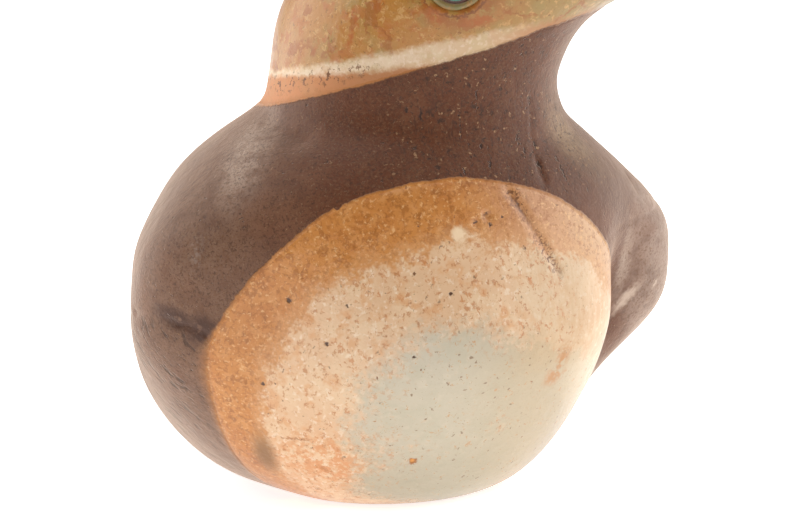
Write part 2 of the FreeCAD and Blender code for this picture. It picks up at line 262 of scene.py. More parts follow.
def cut_off(piece, plane, far_side=True, closed=True):
    """Cuts the piece in a plane and drops its far side, or its near side."""
    only(piece)
    bpy.ops.object.mode_set(mode="EDIT")
    bpy.ops.mesh.select_all(action="SELECT")
    bpy.ops.mesh.bisect(
        plane_co=plane[0] * plane[1] * MM, plane_no=plane[0], use_fill=closed,
        clear_outer=far_side, clear_inner=not far_side, threshold=0.01 * MM)
    bpy.ops.object.mode_set(mode="OBJECT")


def largest_part(piece):
    """Drops all but the largest connected part."""
    only(piece)
    bpy.ops.object.mode_set(mode="EDIT")
    bpy.ops.mesh.select_all(action="SELECT")
    bpy.ops.mesh.separate(type="LOOSE")
    bpy.ops.object.mode_set(mode="OBJECT")
    parts = sorted(bpy.context.selected_objects, key=lambda part: part.dimensions.length)
    for part in parts[:-1]:
        bpy.data.objects.remove(part)
    return parts[-1]


def finish(piece, name, node, material):
    """Turns every face outwards, shades it smooth and lets the piece stand for its node."""
    only(piece)
    bpy.ops.object.mode_set(mode="EDIT")
    bpy.ops.mesh.select_all(action="SELECT")
    bpy.ops.mesh.normals_make_consistent(inside=False)
    bpy.ops.object.mode_set(mode="OBJECT")
    bpy.ops.object.shade_smooth_by_angle(angle=math.radians(40))
    piece.name = name
    piece.data.materials.clear()
    piece.data.materials.append(material)
    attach(piece, "root")
    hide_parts(node)


# Patterns that the finishes are made of


def colour(hex_value):
    """A display colour such as "5a3d2f" as the linear colour that a shader takes."""
    parts = [int(hex_value[i:i + 2], 16) / 255 for i in (0, 2, 4)]
    return [part / 12.92 if part <= 0.04045 else ((part + 0.055) / 1.055) ** 2.4 for part in parts] + [1]


def add(tree, kind, links=None, **settings):
    """Adds a node with its settings and links and returns its output; a text is a display colour."""
    node = tree.nodes.new(f"ShaderNode{kind}")
    for name, value in settings.items():
        setattr(node, name, value)
    for key, value in (links or {}).items():
        socket = node.inputs[key] if isinstance(key, int) else next(
            s for s in node.inputs if s.enabled and s.name == key)
        if isinstance(value, bpy.types.NodeSocket):
            tree.links.new(value, socket)
        else:
            socket.default_value = colour(value) if isinstance(value, str) else value
    return next((s for s in node.outputs if s.enabled), node)


def masked(tree, *masks):
    """The product of masks.

    A mask is a node's output, a number, or a soft edge: a value, where the edge starts, where it is
    full, and how strong it is there if that isn't 1.
    """
    product = None
    for mask in masks:
        if isinstance(mask, tuple):
            value, start, end, strength = (*mask, 1.0)[:4]
            mask = add(
                tree, "MapRange", {"Value": value, "From Min": start, "From Max": end, "To Max": strength},
                interpolation_type="SMOOTHSTEP")
        if product is None:
            product = mask
        else:
            product = add(tree, "Math", {0: product, 1: mask}, operation="MULTIPLY")
    return product


def painted(tree, ground, layers):
    """A ground colour with layers over it, each a colour and the masks that it shows through."""
    for top, *masks in layers:
        ground = add(tree, "Mix", {"Factor": masked(tree, *masks), "A": ground, "B": top}, data_type="RGBA")
    return ground


def summed(tree, layers, total=0.0):
    """A total with layers added to it, each a weight and the masks that it counts through."""
    for weight, *masks in layers:
        total = add(
            tree, "Math", {0: masked(tree, *masks), 1: weight, 2: total}, operation="MULTIPLY_ADD")
    return total


def mottle(tree, place, grain, low, high, strength=1.0):
    """A cloudy mask whose clouds are about grain mm across; it starts at low and is full at high."""
    clouds = add(tree, "TexNoise", {"Vector": place, "Scale": 1 / grain, "Detail": 3.0, "Roughness": 0.6})
    return masked(tree, (clouds, low, high, strength))


def flecks(tree, place, spacing, radius, share):
    """Round specks of up to radius mm, in a share of the cells that lie spacing mm apart."""
    cells = add(tree, "TexVoronoi", {"Vector": place, "Scale": 1 / spacing}).node
    size = add(tree, "SeparateColor", {0: cells.outputs["Color"]}).node
    held = add(tree, "Math", {0: size.outputs[0], 1: share}, operation="LESS_THAN")
    largest = radius / spacing
    reach = add(tree, "MapRange", {"Value": size.outputs[1], "To Min": largest, "To Max": largest / 3})
    inner = add(tree, "Math", {0: reach, 1: 0.6}, operation="MULTIPLY")
    away = cells.outputs["Distance"]
    speck = add(tree, "MapRange", {"Value": away, "From Min": reach, "From Max": inner})
    return masked(tree, speck, held)


def veins(tree, place, grain, width):
    """Thin winding lines between clouds about grain mm across."""
    clouds = add(tree, "TexNoise", {"Vector": place, "Scale": 1 / grain, "Detail": 2.0})
    return add(tree, "Math", {0: clouds, 1: 0.5, 2: width}, operation="COMPARE")


def ragged(tree, place, wave, reach):
    """Coordinates shaken by up to reach mm, so that what they draw has torn edges."""
    shake = add(tree, "TexNoise", {"Vector": place, "Scale": 1 / wave, "Detail": 2.0}).node.outputs["Color"]
    shift = add(tree, "VectorMath", {0: shake, 1: (-0.5, -0.5, -0.5)}, operation="ADD")
    return add(
        tree, "VectorMath", {0: shift, 1: (reach * 2, reach * 2, reach * 2), 2: place},
        operation="MULTIPLY_ADD")


def drawn_out(tree, place, way, length):
    """Coordinates whose pattern is drawn out along a way, length times."""
    turn = way.to_track_quat("Z", "Y").to_euler()
    return add(
        tree, "Mapping", {"Vector": place, "Rotation": turn, "Scale": (1, 1, length)},
        vector_type="TEXTURE")


def past_plane(tree, place, plane, wobble):
    """Distance in mm past a plane; wobble lists waves of the line as size and reach in mm."""
    along = add(tree, "VectorMath", {0: place, 1: plane[0]}, operation="DOT_PRODUCT")
    past = add(tree, "Math", {0: along, 1: plane[1]}, operation="SUBTRACT")
    for wave, reach in wobble:
        swing = add(tree, "TexNoise", {"Vector": place, "Scale": 1 / wave, "Detail": 2.0})
        past = add(tree, "Math", {0: swing, 1: 2 * reach, 2: past}, operation="MULTIPLY_ADD")
        past = add(tree, "Math", {0: past, 1: reach}, operation="SUBTRACT")
    return past


def marks(tree, place, rows, edge):
    """A mask of long marks, each a place, the way it runs, half its length and half its width in mm.

    The edge is how far a mark fades out, as a share of its width.
    """
    mask = None
    for centre, way, half_length, half_width in rows:
        turn = Vector(way).to_track_quat("Z", "Y").to_euler()
        reach = Vector((half_width, half_width, half_length)) * (1 + edge)
        own = add(
            tree, "Mapping", {"Vector": place, "Location": centre, "Rotation": turn, "Scale": reach},
            vector_type="TEXTURE")
        inwards = add(tree, "TexGradient", {"Vector": own}, gradient_type="SPHERICAL").node.outputs["Fac"]
        spot = masked(tree, (inwards, 0, 2 * edge / (1 + edge)))
        mask = spot if mask is None else add(tree, "Math", {0: mask, 1: spot}, operation="MAXIMUM")
    return mask


def object_place(tree):
    """Coordinates on the figure in mm."""
    coordinates = add(tree, "TexCoord").node.outputs["Object"]
    return add(tree, "VectorMath", {0: coordinates, "Scale": 1 / MM}, operation="SCALE")


def eye_distance(tree, place):
    """Distance in mm from the middle of the nearer eye."""
    right_eye, left_eye = [
        add(tree, "VectorMath", {0: place, 1: eye}, operation="DISTANCE") for eye in EYES]
    return add(tree, "Math", {0: right_eye, 1: left_eye}, operation="MINIMUM")


def new_material(name):
    """An empty material and its node tree."""
    material = bpy.data.materials.new(name)
    material.use_nodes = True
    material.node_tree.nodes.clear()
    return material, material.node_tree


# Finishes

# The ways that the slip's brush, the marks on the neck and the painted highlight streaks on the wing run.
BRUSH_WAY = Vector((0.40, -0.35, -0.84))
NECK_WAY = Vector((0.05, -0.15, -0.98))
WING_WAY = Vector((-0.70, 0.13, -0.68))

# Marks on the slip, and painted light and shade: the middle, the way it runs, half the length and half the
# width, in mm.
DRAG_MARKS = [
    ((19.3, -42.3, 77.1), NECK_WAY, 4.2, 0.35), ((19.2, -39.5, 84.5), NECK_WAY, 7.0, 0.24),
    ((25.2, -42.0, 74.0), (0.25, -0.5, -0.8), 4.5, 0.24), ((5.3, -42.0, 91.0), NECK_WAY, 4.5, 0.22),
    ((1.5, -42.0, 87.0), NECK_WAY, 4.8, 0.15), ((1.0, -45.6, 76.8), NECK_WAY, 2.0, 0.2),
    ((14.9, -41.3, 81.5), NECK_WAY, 1.2, 0.25), ((16.3, -41.7, 79.3), NECK_WAY, 0.8, 0.3),
    ((5.9, -43.1, 81.1), NECK_WAY, 0.8, 0.35), ((-6.6, -40.0, 88.2), NECK_WAY, 1.3, 0.4),
    ((7.2, -44.8, 77.5), NECK_WAY, 0.8, 0.4), ((-9.3, -38.8, 88.9), NECK_WAY, 0.5, 0.5),
]
# Painted shade: a dark patch in the undercut below the left seam's ledge, which is also glossier.
SEAM_UNDERCUT_SHADE = [
    ((-56.0, -24.9, 45.6), (0.5, -0.45, -0.2), 5.0, 2.2),
    ((-51.4, -28.6, 43.4), (0.5, -0.45, -0.3), 3.2, 3.2),
]
SHOULDER_SCUFF = [((-52.2, -29.2, 60.6), (0.1, 0.05, 1), 3.4, 1.3)]
# Painted highlights: pale glossy streaks on the wing's facet.
WING_HIGHLIGHTS = [((48.3, -24.6, 41.1), WING_WAY, 4.4, 1.2), ((52.5, -22.0, 40.0), WING_WAY, 8.0, 0.4)]
# Painted highlights: pale washes on the left shoulder and on the wing's facet, where the light falls.
HIGHLIGHT_WASHES = [
    ((-37.0, -19.0, 79.8), (-0.47, -0.70, -0.52), 13, 5),
    ((46.8, -28.3, 51.0), (0.11, -0.25, 0.96), 9.0, 1.7),
]
# Painted reflection: a pale wash beside the neck on the right, where the right softbox reflects.
NECK_LIGHT_WASH = [((31.0, -33.8, 79.0), (0.5, 0.1, -0.85), 9, 5)]
# Painted shade: a darker patch on the right shoulder, holding back the softbox light there.
PAINTED_SHOULDER_SHADE = [((40.0, -35.0, 67.5), (0.65, 0.25, -0.7), 10, 6)]

# Marks in the belly's glaze, in the same way.
RIM_NOTCH = [((-25.9, -42.4, 71.2), (0.2, 0, 1), 1.4, 0.7)]
THIN_RIM = [((-45.0, -22.0, 22.0), (0.35, 0.1, -0.9), 24, 10)]
RUST_SPOTS = [((22.6, -48.2, 35.0), (0, 0.1, 1), 4.6, 1.7), ((21.3, -47.0, 31.2), (0, 0.1, 1), 2.0, 2.6)]
ORANGE_FLUSH = [((-24.0, -36.0, 13.5), (1, -0.6, 0), 14, 8)]
SCRATCH = [((-32.8, -33.2, 19.4), (0.75, -0.65, 0.03), 4.4, 0.28)]
OLIVE_PATCH = [((-36.1, -25.1, 14.2), (0.35, 0.45, -0.8), 5.5, 2.4)]
CREASE_STAIN = [
    ((12.6, -48.0, 68.2), (0.53, -0.1, -0.8), 4.6, 0.6),
    ((17.2, -48.8, 61.0), (0.5, -0.05, -0.86), 4.4, 0.4),
    ((20.4, -48.9, 55.9), (0.55, 0, -0.83), 2.4, 0.5),
]
CREASE_CRUMBS = [
    ((12.2, -47.6, 70.2), (0.5, -0.1, -0.85), 4.5, 2.0),
    ((18.4, -48.9, 58.8), (0.5, 0, -0.86), 6.5, 1.5),
]
PALE_SPOT = [((-2.0, -50.0, 64.3), UP, 1.5, 1.5)]
AMBER_BLISTER = [((-8.8, -41.5, 14.2), (1, 0, 0), 1.0, 1.0)]
BLISTER_SHINE = [((-9.0, -41.5, 14.5), (1, 0, 0), 0.5, 0.5)]
# Iron grains that burnt through the glaze: the place and the radius in mm.
IRON_GRAINS = [
    ((-35.8, -39.5, 50.9), 0.55), ((-39.5, -33.5, 32.0), 0.4), ((-4.9, -52.7, 52.3), 0.35),
    ((-25.7, -46.7, 50.3), 0.3), ((-29.4, -44.8, 42.1), 0.42), ((-13.1, -52.5, 39.6), 0.3),
    ((4.6, -49.3, 67.7), 0.6), ((2.0, -49.6, 66.5), 0.5), ((5.2, -49.7, 65.6), 0.4),
    ((8.1, -49.2, 67.0), 0.3), ((12.4, -48.0, 69.2), 0.5), ((13.6, -48.2, 67.0), 0.35),
    ((-25.4, -47.2, 61.5), 0.35),
]

# The eye glass's craze lines lie this far apart, in mm.
CRAZE_SPACING = 1.7
# Rust that ran under the eye, in the same way as the marks above.
RUST_RUNS = [
    ((-17.6, -31.6, 107.5), (0.2, -0.3, -1), 2.4, 0.5),
    ((-18.7, -31.4, 103.5), (-0.2, 0.2, -1), 3.0, 0.45),
    ((-4.2, -41.8, 108.8), (0.4, -0.1, -0.5), 2.4, 1.2),
    ((5.0, -44.6, 107.8), (1, -0.2, 0.1), 3.2, 1.3),
]


def brown_slip(tree, place, torn, across, height):
    """Brown slip, brushed on, so it is drawn out along the brush, and grog stands through it; with painted
    reflections, highlights and shade on its flanks and shoulders.
    """
    on_neck = masked(tree, (across, -8, 14), (height, 66, 76))
    pits = masked(tree, flecks(tree, torn, 2.2, 0.42, 0.45), (across, 54, 44))
    grog = flecks(tree, torn, 1.5, 0.26, 0.3)
    neck_grog = masked(tree, flecks(tree, torn, 1.3, 0.42, 0.4), on_neck)
    neck_pits = masked(tree, mottle(tree, torn, 1.0, 0.58, 0.66), on_neck)
    grain = mottle(tree, place, 0.55, 0.35, 0.75)
    streaks = mottle(tree, drawn_out(tree, place, BRUSH_WAY, 5), 1.5, 0.54, 0.64)
    pull_lines = masked(tree, mottle(tree, drawn_out(tree, place, NECK_WAY, 9), 0.7, 0.58, 0.68), on_neck)
    towards = add(tree, "VectorMath", {0: place, 1: BACK}, operation="DOT_PRODUCT")
    worn_flank = masked(
        tree, mottle(tree, place, 12, 0.2, 0.45), (across, -28, -46, 0.6), (height, 48, 41),
        (towards, -30, 6))
    drags = marks(tree, torn, DRAG_MARKS, 0.35)
    undercut_shade = masked(tree, marks(tree, torn, SEAM_UNDERCUT_SHADE, 0.6), mottle(tree, place, 1.6, 0.25, 0.45))
    neck_light_wash = masked(tree, marks(tree, torn, NECK_LIGHT_WASH, 0.9), mottle(tree, place, 6, 0.1, 0.5, 0.8))
    highlight_wash = masked(tree, marks(tree, torn, HIGHLIGHT_WASHES, 0.8), mottle(tree, place, 5, 0.25, 0.5, 0.65))
    shoulder_scuff = masked(
        tree, marks(tree, torn, SHOULDER_SCUFF, 0.8), mottle(tree, place, 0.9, 0.4, 0.65, 0.4))
    wing_highlights = masked(
        tree, marks(tree, torn, WING_HIGHLIGHTS, 0.7),
        mottle(tree, drawn_out(tree, place, WING_WAY, 6), 1.2, 0.25, 0.55, 0.8))
    patches = mottle(tree, place, 9, 0.1, 0.5)
    slip = painted(tree, "5c2d10", [
        ("60351b", mottle(tree, place, 24, 0.4, 0.65, 0.5)),
        # Painted reflection: the slip is paler towards the left flank and on the right wing, where the side
        # softboxes reflect.
        ("8c705b", patches, (across, -6, -36, 0.5)),
        ("a99282", patches, (across, 50, 58, 0.75)),
        # Painted reflection beside the neck.
        ("a98e6d", neck_light_wash),
        # Painted shade on the right shoulder.
        ("4f2c16", marks(tree, torn, PAINTED_SHOULDER_SHADE, 0.9), 0.7),
        # Painted highlights on the left shoulder and on the wing.
        ("bfa997", highlight_wash),
        ("7a4c30", mottle(tree, place, 14, 0.5, 0.62, 0.25)),
        ("4a2410", mottle(tree, place, 4, 0.4, 0.7, 0.4)),
        ("361c0d", mottle(tree, torn, 0.6, 0.5, 0.64, 0.6), (across, 50, 40)),
        ("8d6c50", mottle(tree, torn, 0.5, 0.58, 0.7, 0.5)),
        ("301b0c", streaks, summed(tree, [(1.0, (height, 52, 36, 0.3))], worn_flank)),
        ("6c482e", grain, grain, 0.8),
        ("472614", pull_lines, mottle(tree, place, 6, 0.4, 0.6)),
        ("3a200f", neck_pits),
        ("9a7553", neck_grog),
        ("8a6546", grog),
        ("38200f", pits, 0.75),
        ("341c0e", drags),
        # Painted shade in the undercut below the left seam.
        ("40200f", undercut_shade, 0.9),
        ("a08d80", shoulder_scuff),
        # Painted highlights on the wing's facet.
        ("ccb5a2", wing_highlights),
        ("8d6c53", (height, 1.4, 0.8)),
    ])
    # Heights in mm.
    relief = summed(tree, [
        (0.03, grain), (-0.1, pits), (-0.03, neck_pits), (0.03, grog), (0.03, neck_grog), (-0.12, drags),
        (-0.015, pull_lines), (-0.12, streaks, worn_flank),
    ])
    return slip, relief, grain, undercut_shade


def dipped_belly(tree, place, torn, across, height):
    """The belly's glaze, dipped three times, each less deep: a caramel rim, cream and celadon."""
    past_front, past_left = [
        past_plane(tree, place, plane, [(7, 0.45), (0.9, 0.22)]) for plane in (BELLY_DIP, BELLY_DIP_LEFT)]
    in_belly = add(tree, "Math", {0: past_front, 1: past_left}, operation="MINIMUM")
    in_belly = summed(tree, [(-1.4, marks(tree, place, RIM_NOTCH, 0.4))], in_belly)
    rim_width = add(
        tree, "MapRange", {"Value": marks(tree, place, THIN_RIM, 0.4), "To Min": 0.12, "To Max": 1.5})
    rim_start = add(tree, "Math", {0: rim_width, 1: -1.0}, operation="MULTIPLY")
    cover = masked(tree, (in_belly, rim_start, rim_width), (height, 0.9, 1.3))
    right_side = masked(tree, (across, 22, 44))
    in_cream = past_plane(tree, place, BELLY_DIP, [(9, 2.4), (2.6, 2.2), (0.8, 2.2)])
    in_cream = summed(tree, [(3.0, right_side)], in_cream)
    cream = masked(tree, (in_cream, 8.6, 10.8))
    in_celadon = past_plane(tree, place, BELLY_DIP, [(8, 2.0), (3.0, 2.0), (1.1, 1.6)])
    in_celadon = summed(tree, [
        (4.0, (height, 16, 3)),
        (6.0, (height, 24, 6), (across, 6, 24)),
        (12.0, (height, 42, 28), (across, 24, 40)),
    ], in_celadon)
    celadon = masked(tree, (in_celadon, 18.0, 22.0))
    freckled = masked(tree, (in_celadon, 24, 18), (across, 48, 38))
    freckles = masked(tree, mottle(tree, torn, 1.3, 0.57, 0.66, 0.7), freckled)
    strokes = mottle(tree, drawn_out(tree, torn, Vector((-0.3, 0, 1)), 2.5), 1.2, 0.58, 0.7, 0.75)
    iron = flecks(tree, torn, 4.2, 0.42, 0.5)
    fine_iron = flecks(tree, torn, 2.1, 0.44, 0.5)
    grain_rows = [(centre, UP, radius, radius) for centre, radius in IRON_GRAINS]
    grains = marks(tree, ragged(tree, place, 0.7, 0.5), grain_rows, 0.35)
    scratch = marks(tree, torn, SCRATCH, 0.5)
    rust = masked(tree, marks(tree, torn, RUST_SPOTS, 0.8), mottle(tree, place, 1.4, 0.35, 0.55, 0.9))
    crumbs = masked(tree, marks(tree, torn, CREASE_CRUMBS, 0.6), mottle(tree, torn, 0.9, 0.5, 0.58, 0.9))
    caramel = painted(tree, "bf7e40", [
        ("b47035", mottle(tree, place, 9, 0.42, 0.62, 0.6)),
        ("cb8f55", mottle(tree, place, 3.0, 0.5, 0.64, 0.6)),
        # Painted light: the caramel is paler towards the right edge, where the right softbox falls.
        ("b98458", (across, 14, 36)),
        ("c99e74", (across, 34, 46)),
        ("985c2a", mottle(tree, torn, 1.0, 0.5, 0.64, 0.6)),
        ("8f5424", mottle(tree, torn, 2.2, 0.54, 0.64, 0.55), (across, 30, 16)),
        ("8a5526", mottle(tree, torn, 0.7, 0.56, 0.68), (in_cream, 2.0, 9.0, 0.7)),
        ("dcae78", mottle(tree, place, 0.8, 0.56, 0.68, 0.65)),
    ])
    cream_colour = painted(tree, "d5af8a", [
        ("dbbb97", mottle(tree, place, 7, 0.42, 0.62, 0.8)),
        ("cf9767", freckled, mottle(tree, place, 4.0, 0.5, 0.66, 0.7)),
        ("cf8f5c", marks(tree, place, ORANGE_FLUSH, 0.6), mottle(tree, place, 1.6, 0.4, 0.56, 0.9)),
        ("e4cdb1", mottle(tree, place, 1.4, 0.54, 0.68, 0.7)),
        ("e8d3b6", right_side, mottle(tree, drawn_out(tree, place, UP, 8), 0.9, 0.45, 0.65, 0.3)),
    ])
    celadon_colour = painted(tree, "bdb19b", [
        ("b6ac95", mottle(tree, place, 7, 0.42, 0.64, 0.6)),
        ("cbbda6", mottle(tree, place, 2.4, 0.54, 0.68, 0.35)),
        # Painted shade: the celadon is darker towards the foot, to hold back the light from the glowing
        # floor.
        ("a4977f", (height, 22, 5, 0.5)),
        ("b5a284", (across, 12, 37)),
        # Painted light: the celadon is paler at the far right edge, where the right softbox falls.
        ("d6c1a2", (across, 37, 47)),
        ("bd8d5c", mottle(tree, torn, 1.2, 0.62, 0.7, 0.7)),
    ])
    belly_colour = painted(tree, caramel, [
        ("cf9a68", (in_cream, 5.8, 9.0, 0.5)),
        (cream_colour, cream),
        (celadon_colour, celadon),
        ("bfa27c", cream, (across, 26, 35, 0.6), (across, 47, 41), (height, 30, 38)),
        ("b0703c", freckles, cream),
        ("bd7942", strokes, freckled, cream),
        ("7d5433", cream, mottle(tree, torn, 0.6, 0.66, 0.72, 0.8)),
        ("8e653c", marks(tree, torn, OLIVE_PATCH, 0.7)),
        ("b57f4c", rust),
        ("b98457", scratch),
        ("7d6044", fine_iron, cream, 0.75),
        ("7a5334", iron),
        ("83522a", marks(tree, torn, CREASE_STAIN, 0.7)),
        ("6b4020", crumbs),
        ("563723", grains),
        ("e3c6a2", marks(tree, torn, PALE_SPOT, 0.5)),
        ("9a5f22", marks(tree, torn, AMBER_BLISTER, 0.3)),
        ("d08a3a", marks(tree, place, BLISTER_SHINE, 0.5)),
        ("8f5a2e", (in_belly, 0.5, 0.1, 0.6)),
    ])
    # Heights in mm.
    pitting = summed(tree, [(-0.05, iron), (-0.15, grains), (-0.12, scratch)])
    return cover, belly_colour, pitting, freckles, celadon


def dipped_head(tree, place, torn, across):
    """The head's glaze: a tan rim, a cream stripe where two dips meet, and ochre above it."""
    from_eye = eye_distance(tree, torn)
    in_head = past_plane(tree, place, HEAD_DIP, [(7, 0.4), (1.3, 0.3), (0.6, 0.2)])
    in_head = summed(tree, [(-0.6, (across, 22, 36))], in_head)
    cover = masked(tree, (in_head, -0.12, 0.12))
    in_stripe = past_plane(tree, place, HEAD_STRIPE, [(6, 0.9), (1.5, 0.7), (0.6, 0.5)])
    past_rim = summed(tree, [(0.1, across)], in_stripe)
    stripe = masked(
        tree, (past_rim, -2.9, -1.3), (in_stripe, 2.2, 0.6), (across, 40, 18, 0.9), (across, -32, -24))
    # Painted light: the glaze is lighter on the nape side, where the left softbox falls.
    lit_nape_side = masked(tree, (across, -8, -24, 0.9))
    crumbs = masked(
        tree, mottle(tree, torn, 1.2, 0.56, 0.64), (in_stripe, 1.6, -0.6), (in_stripe, -4.5, -2.0),
        (across, 4, -6))
    eye_ring = add(tree, "Math", {0: from_eye, 1: 7.7, 2: 0.28}, operation="COMPARE")
    ochre = painted(tree, "aa7434", [
        ("9a7a40", mottle(tree, place, 10, 0.42, 0.6, 0.8)),
        # Painted light on the nape side.
        ("b68453", lit_nape_side),
        ("a8642a", mottle(tree, torn, 3.6, 0.5, 0.62, 0.75)),
        ("8f7b48", (across, 18, 40, 0.7)),
        ("bf9358", mottle(tree, torn, 1.3, 0.54, 0.66, 0.8)),
        ("94501e", veins(tree, torn, 9, 0.03), mottle(tree, place, 6, 0.48, 0.58, 0.6)),
        ("76501f", mottle(tree, torn, 0.8, 0.6, 0.7, 0.7)),
    ])
    stripe_colour = painted(tree, "c7a783", [
        # Painted light on the nape side.
        ("e8c196", lit_nape_side),
        ("c6b088", mottle(tree, place, 5, 0.45, 0.6, 0.6)),
        ("e0ccb2", mottle(tree, place, 1.1, 0.5, 0.64, 0.5)),
        ("e8d5bd", mottle(tree, place, 3, 0.3, 0.5, 0.45), (in_stripe, -2.2, -0.8), (in_stripe, 1.4, 0.0),
         (across, 22, 4)),
    ])
    head_colour = painted(tree, "c47f4a", [
        ("c08450", mottle(tree, place, 5, 0.42, 0.6, 0.7)),
        # Painted shade: the tan is darker away from the lit nape side.
        ("9a6234", (across, -22, 2, 0.8)),
        ("a8703a", mottle(tree, torn, 1.0, 0.56, 0.68, 0.5)),
        (ochre, (in_stripe, -0.6, 1.4)),
        (stripe_colour, stripe),
        ("70441f", crumbs),
        ("7a4f24", flecks(tree, torn, 3.2, 0.34, 0.45)),
        ("95571e", mottle(tree, torn, 2.6, 0.42, 0.56), (from_eye, 12.5, 8.5, 0.9)),
        ("6b3717", eye_ring, 0.6),
        ("a3561c", marks(tree, torn, RUST_RUNS, 0.7), mottle(tree, place, 1.5, 0.3, 0.5, 0.85)),
        ("a5672f", (in_head, 1.6, 0.2, 0.6), (across, 6, -10)),
        ("5e3a1e", (in_head, 0.35, 0.05, 0.8)),
    ])
    thin_glaze = masked(tree, cover, (in_stripe, 1.4, -0.6))
    return cover, head_colour, thin_glaze


def dipped_stoneware(name, specular, sheen):
    """Grogged stoneware under a matt, dusty brown slip, its belly and head dipped in satin glaze.

    The dip lines are planes, because the bird was held at a slant in a still bath.
    """
    material, tree = new_material(name)
    place = object_place(tree)
    torn = ragged(tree, place, 0.9, 0.9)
    across = add(tree, "VectorMath", {0: place, 1: RIGHT}, operation="DOT_PRODUCT")
    height = add(tree, "SeparateXYZ", {0: place}).node.outputs["Z"]
    slip, slip_relief, grain, undercut_shade = brown_slip(tree, place, torn, across, height)
    belly, belly_colour, pitting, freckles, celadon = dipped_belly(tree, place, torn, across, height)
    head, head_colour, thin_glaze = dipped_head(tree, place, torn, across)

    base = painted(tree, slip, [(belly_colour, belly), (head_colour, head)])
    glazed = add(tree, "Math", {0: belly, 1: head}, operation="MAXIMUM")
    bare = add(tree, "Math", {0: 1.0, 1: glazed}, operation="SUBTRACT")
    roughness = summed(tree, [
        (-0.22, glazed), (0.06, grain, bare), (-0.04, celadon), (-0.2, undercut_shade), (0.2, thin_glaze)], 0.52)
    # Heights in mm.
    relief = summed(tree, [
        (0.14, glazed), (1.0, slip_relief, bare), (1.0, pitting), (-0.03, freckles, glazed),
        (0.08, mottle(tree, place, 3.5, 0.3, 0.7)),
    ])
    normal = add(tree, "Bump", {"Height": relief, "Distance": MM, "Strength": 1.0})
    surface = add(tree, "BsdfPrincipled", {
        "Base Color": base, "Roughness": roughness, "Normal": normal, "IOR": 1.5,
        "Specular IOR Level": specular, "Sheen Weight": sheen, "Sheen Roughness": 0.38,
        "Sheen Tint": "ffe6d2"})
    add(tree, "OutputMaterial", {"Surface": surface})
    return material


def ash_glaze_on_coil():
    """A coil of clay under ash glaze, which is thin and olive on top and brown where it pooled."""
    material, tree = new_material("ash_glaze_on_coil")
    place = object_place(tree)
    from_eye = eye_distance(tree, place)
    base = painted(tree, "7d6a3e", [
        ("6f7048", mottle(tree, place, 2.4, 0.45, 0.62, 0.8)),
        ("a8743f", mottle(tree, place, 1.1, 0.52, 0.68, 0.7)),
        ("5b2d18", (from_eye, 5.3, 4.8)),
        ("74431f", (from_eye, 6.2, 6.6)),
    ])
    normal = add(tree, "Bump", {"Height": mottle(tree, place, 1.5, 0.3, 0.7, 0.06), "Distance": MM})
    surface = add(
        tree, "BsdfPrincipled", {"Base Color": base, "Roughness": 0.35, "Normal": normal, "IOR": 1.5})
    add(tree, "OutputMaterial", {"Surface": surface})
    return material


def copper_green_glass():
    """Copper-green glass, melted into the coil: glossy and dark, with craze lines and a red-brown rim."""
    material, tree = new_material("copper_green_glass")
    place = object_place(tree)
    from_eye = eye_distance(tree, place)
    craze = add(
        tree, "TexVoronoi", {"Vector": place, "Scale": 1 / CRAZE_SPACING}, feature="DISTANCE_TO_EDGE")
    base = painted(tree, "1d4f42", [
        ("5c9c86", mottle(tree, place, 2.0, 0.42, 0.62, 0.9)),
        ("0f2c25", (from_eye, 2.2, 1.2, 0.7)),
        ("8fbfa5", (craze, 0.05, 0.01, 0.5)),
        ("4a2013", (from_eye, 4.2, 4.6)),
    ])
    surface = add(tree, "BsdfPrincipled", {"Base Color": base, "Roughness": 0.06, "IOR": 1.52})
    add(tree, "OutputMaterial", {"Surface": surface})
    return material


def lit_acrylic():
    """Opal acrylic of a light table: matt white, and lit from below, so it takes hardly a shadow."""
    material, tree = new_material("opal_acrylic")
    surface = add(tree, "BsdfPrincipled", {
        "Base Color": "f4f4f3", "Roughness": 0.9, "Emission Color": "ffffff", "Emission Strength": 0.72})
    add(tree, "OutputMaterial", {"Surface": surface})
    return material


# Pieces

CLAY_PIECES = [
    ("bowl_clay", "belly_bowl", [(BODY_SEAM_LOW, True), (TAIL_ROOT, True)]),
    ("body_joint_slip", "body_slip_seam",
     [(BODY_SEAM_LOW, False), (BODY_SEAM_HIGH, True), (TAIL_ROOT, True)]),
    ("back_clay", "back_shell", [(BODY_SEAM_HIGH, False), (NECK_SEAM_LOW, True), (TAIL_ROOT, True)]),
    ("neck_joint_slip", "neck_slip_seam", [(NECK_SEAM_LOW, False), (NECK_SEAM_HIGH, True)]),
    ("head_clay", "head_shell", [(NECK_SEAM_HIGH, False), (BILL_ROOT, True)]),
    ("tail_clay", "tail", [(TAIL_ROOT, False)]),
]
GLAZE_COATS = [
    ("belly_glaze_coat", "belly_glaze",
     [(BELLY_DIP, False), (BELLY_DIP_LEFT, False), (FOOT_MARGIN, False)]),
    ("head_glaze_coat", "head_glaze", [(HEAD_DIP, False), (BILL_ROOT, True)]),
]


def inside_dips(places, start, end):
    """How far each place is under glaze, as a share that rises from start to end mm past its edge."""
    in_belly = np.minimum(beyond(places, BELLY_DIP), beyond(places, BELLY_DIP_LEFT))
    in_head = beyond(places, HEAD_DIP)
    return np.maximum(smooth_step(in_belly, start, end), smooth_step(in_head, start, end))


def clay_pieces(form, material):
    """The figure's pieces of clay, cut out of the form at the seams."""
    for name, node, cuts in CLAY_PIECES:
        piece = new_piece(name, form.data.copy())
        for plane, far_side in cuts:
            cut_off(piece, plane, far_side)
        finish(piece, name, node, material)


def dipped_bill(form, material):
    """The bill's clay, dipped with the head."""
    bill = new_piece("bill_clay", form.data.copy())
    cut_off(bill, BILL_ROOT, False)
    finish(bill, "bill_clay", "bill", material)


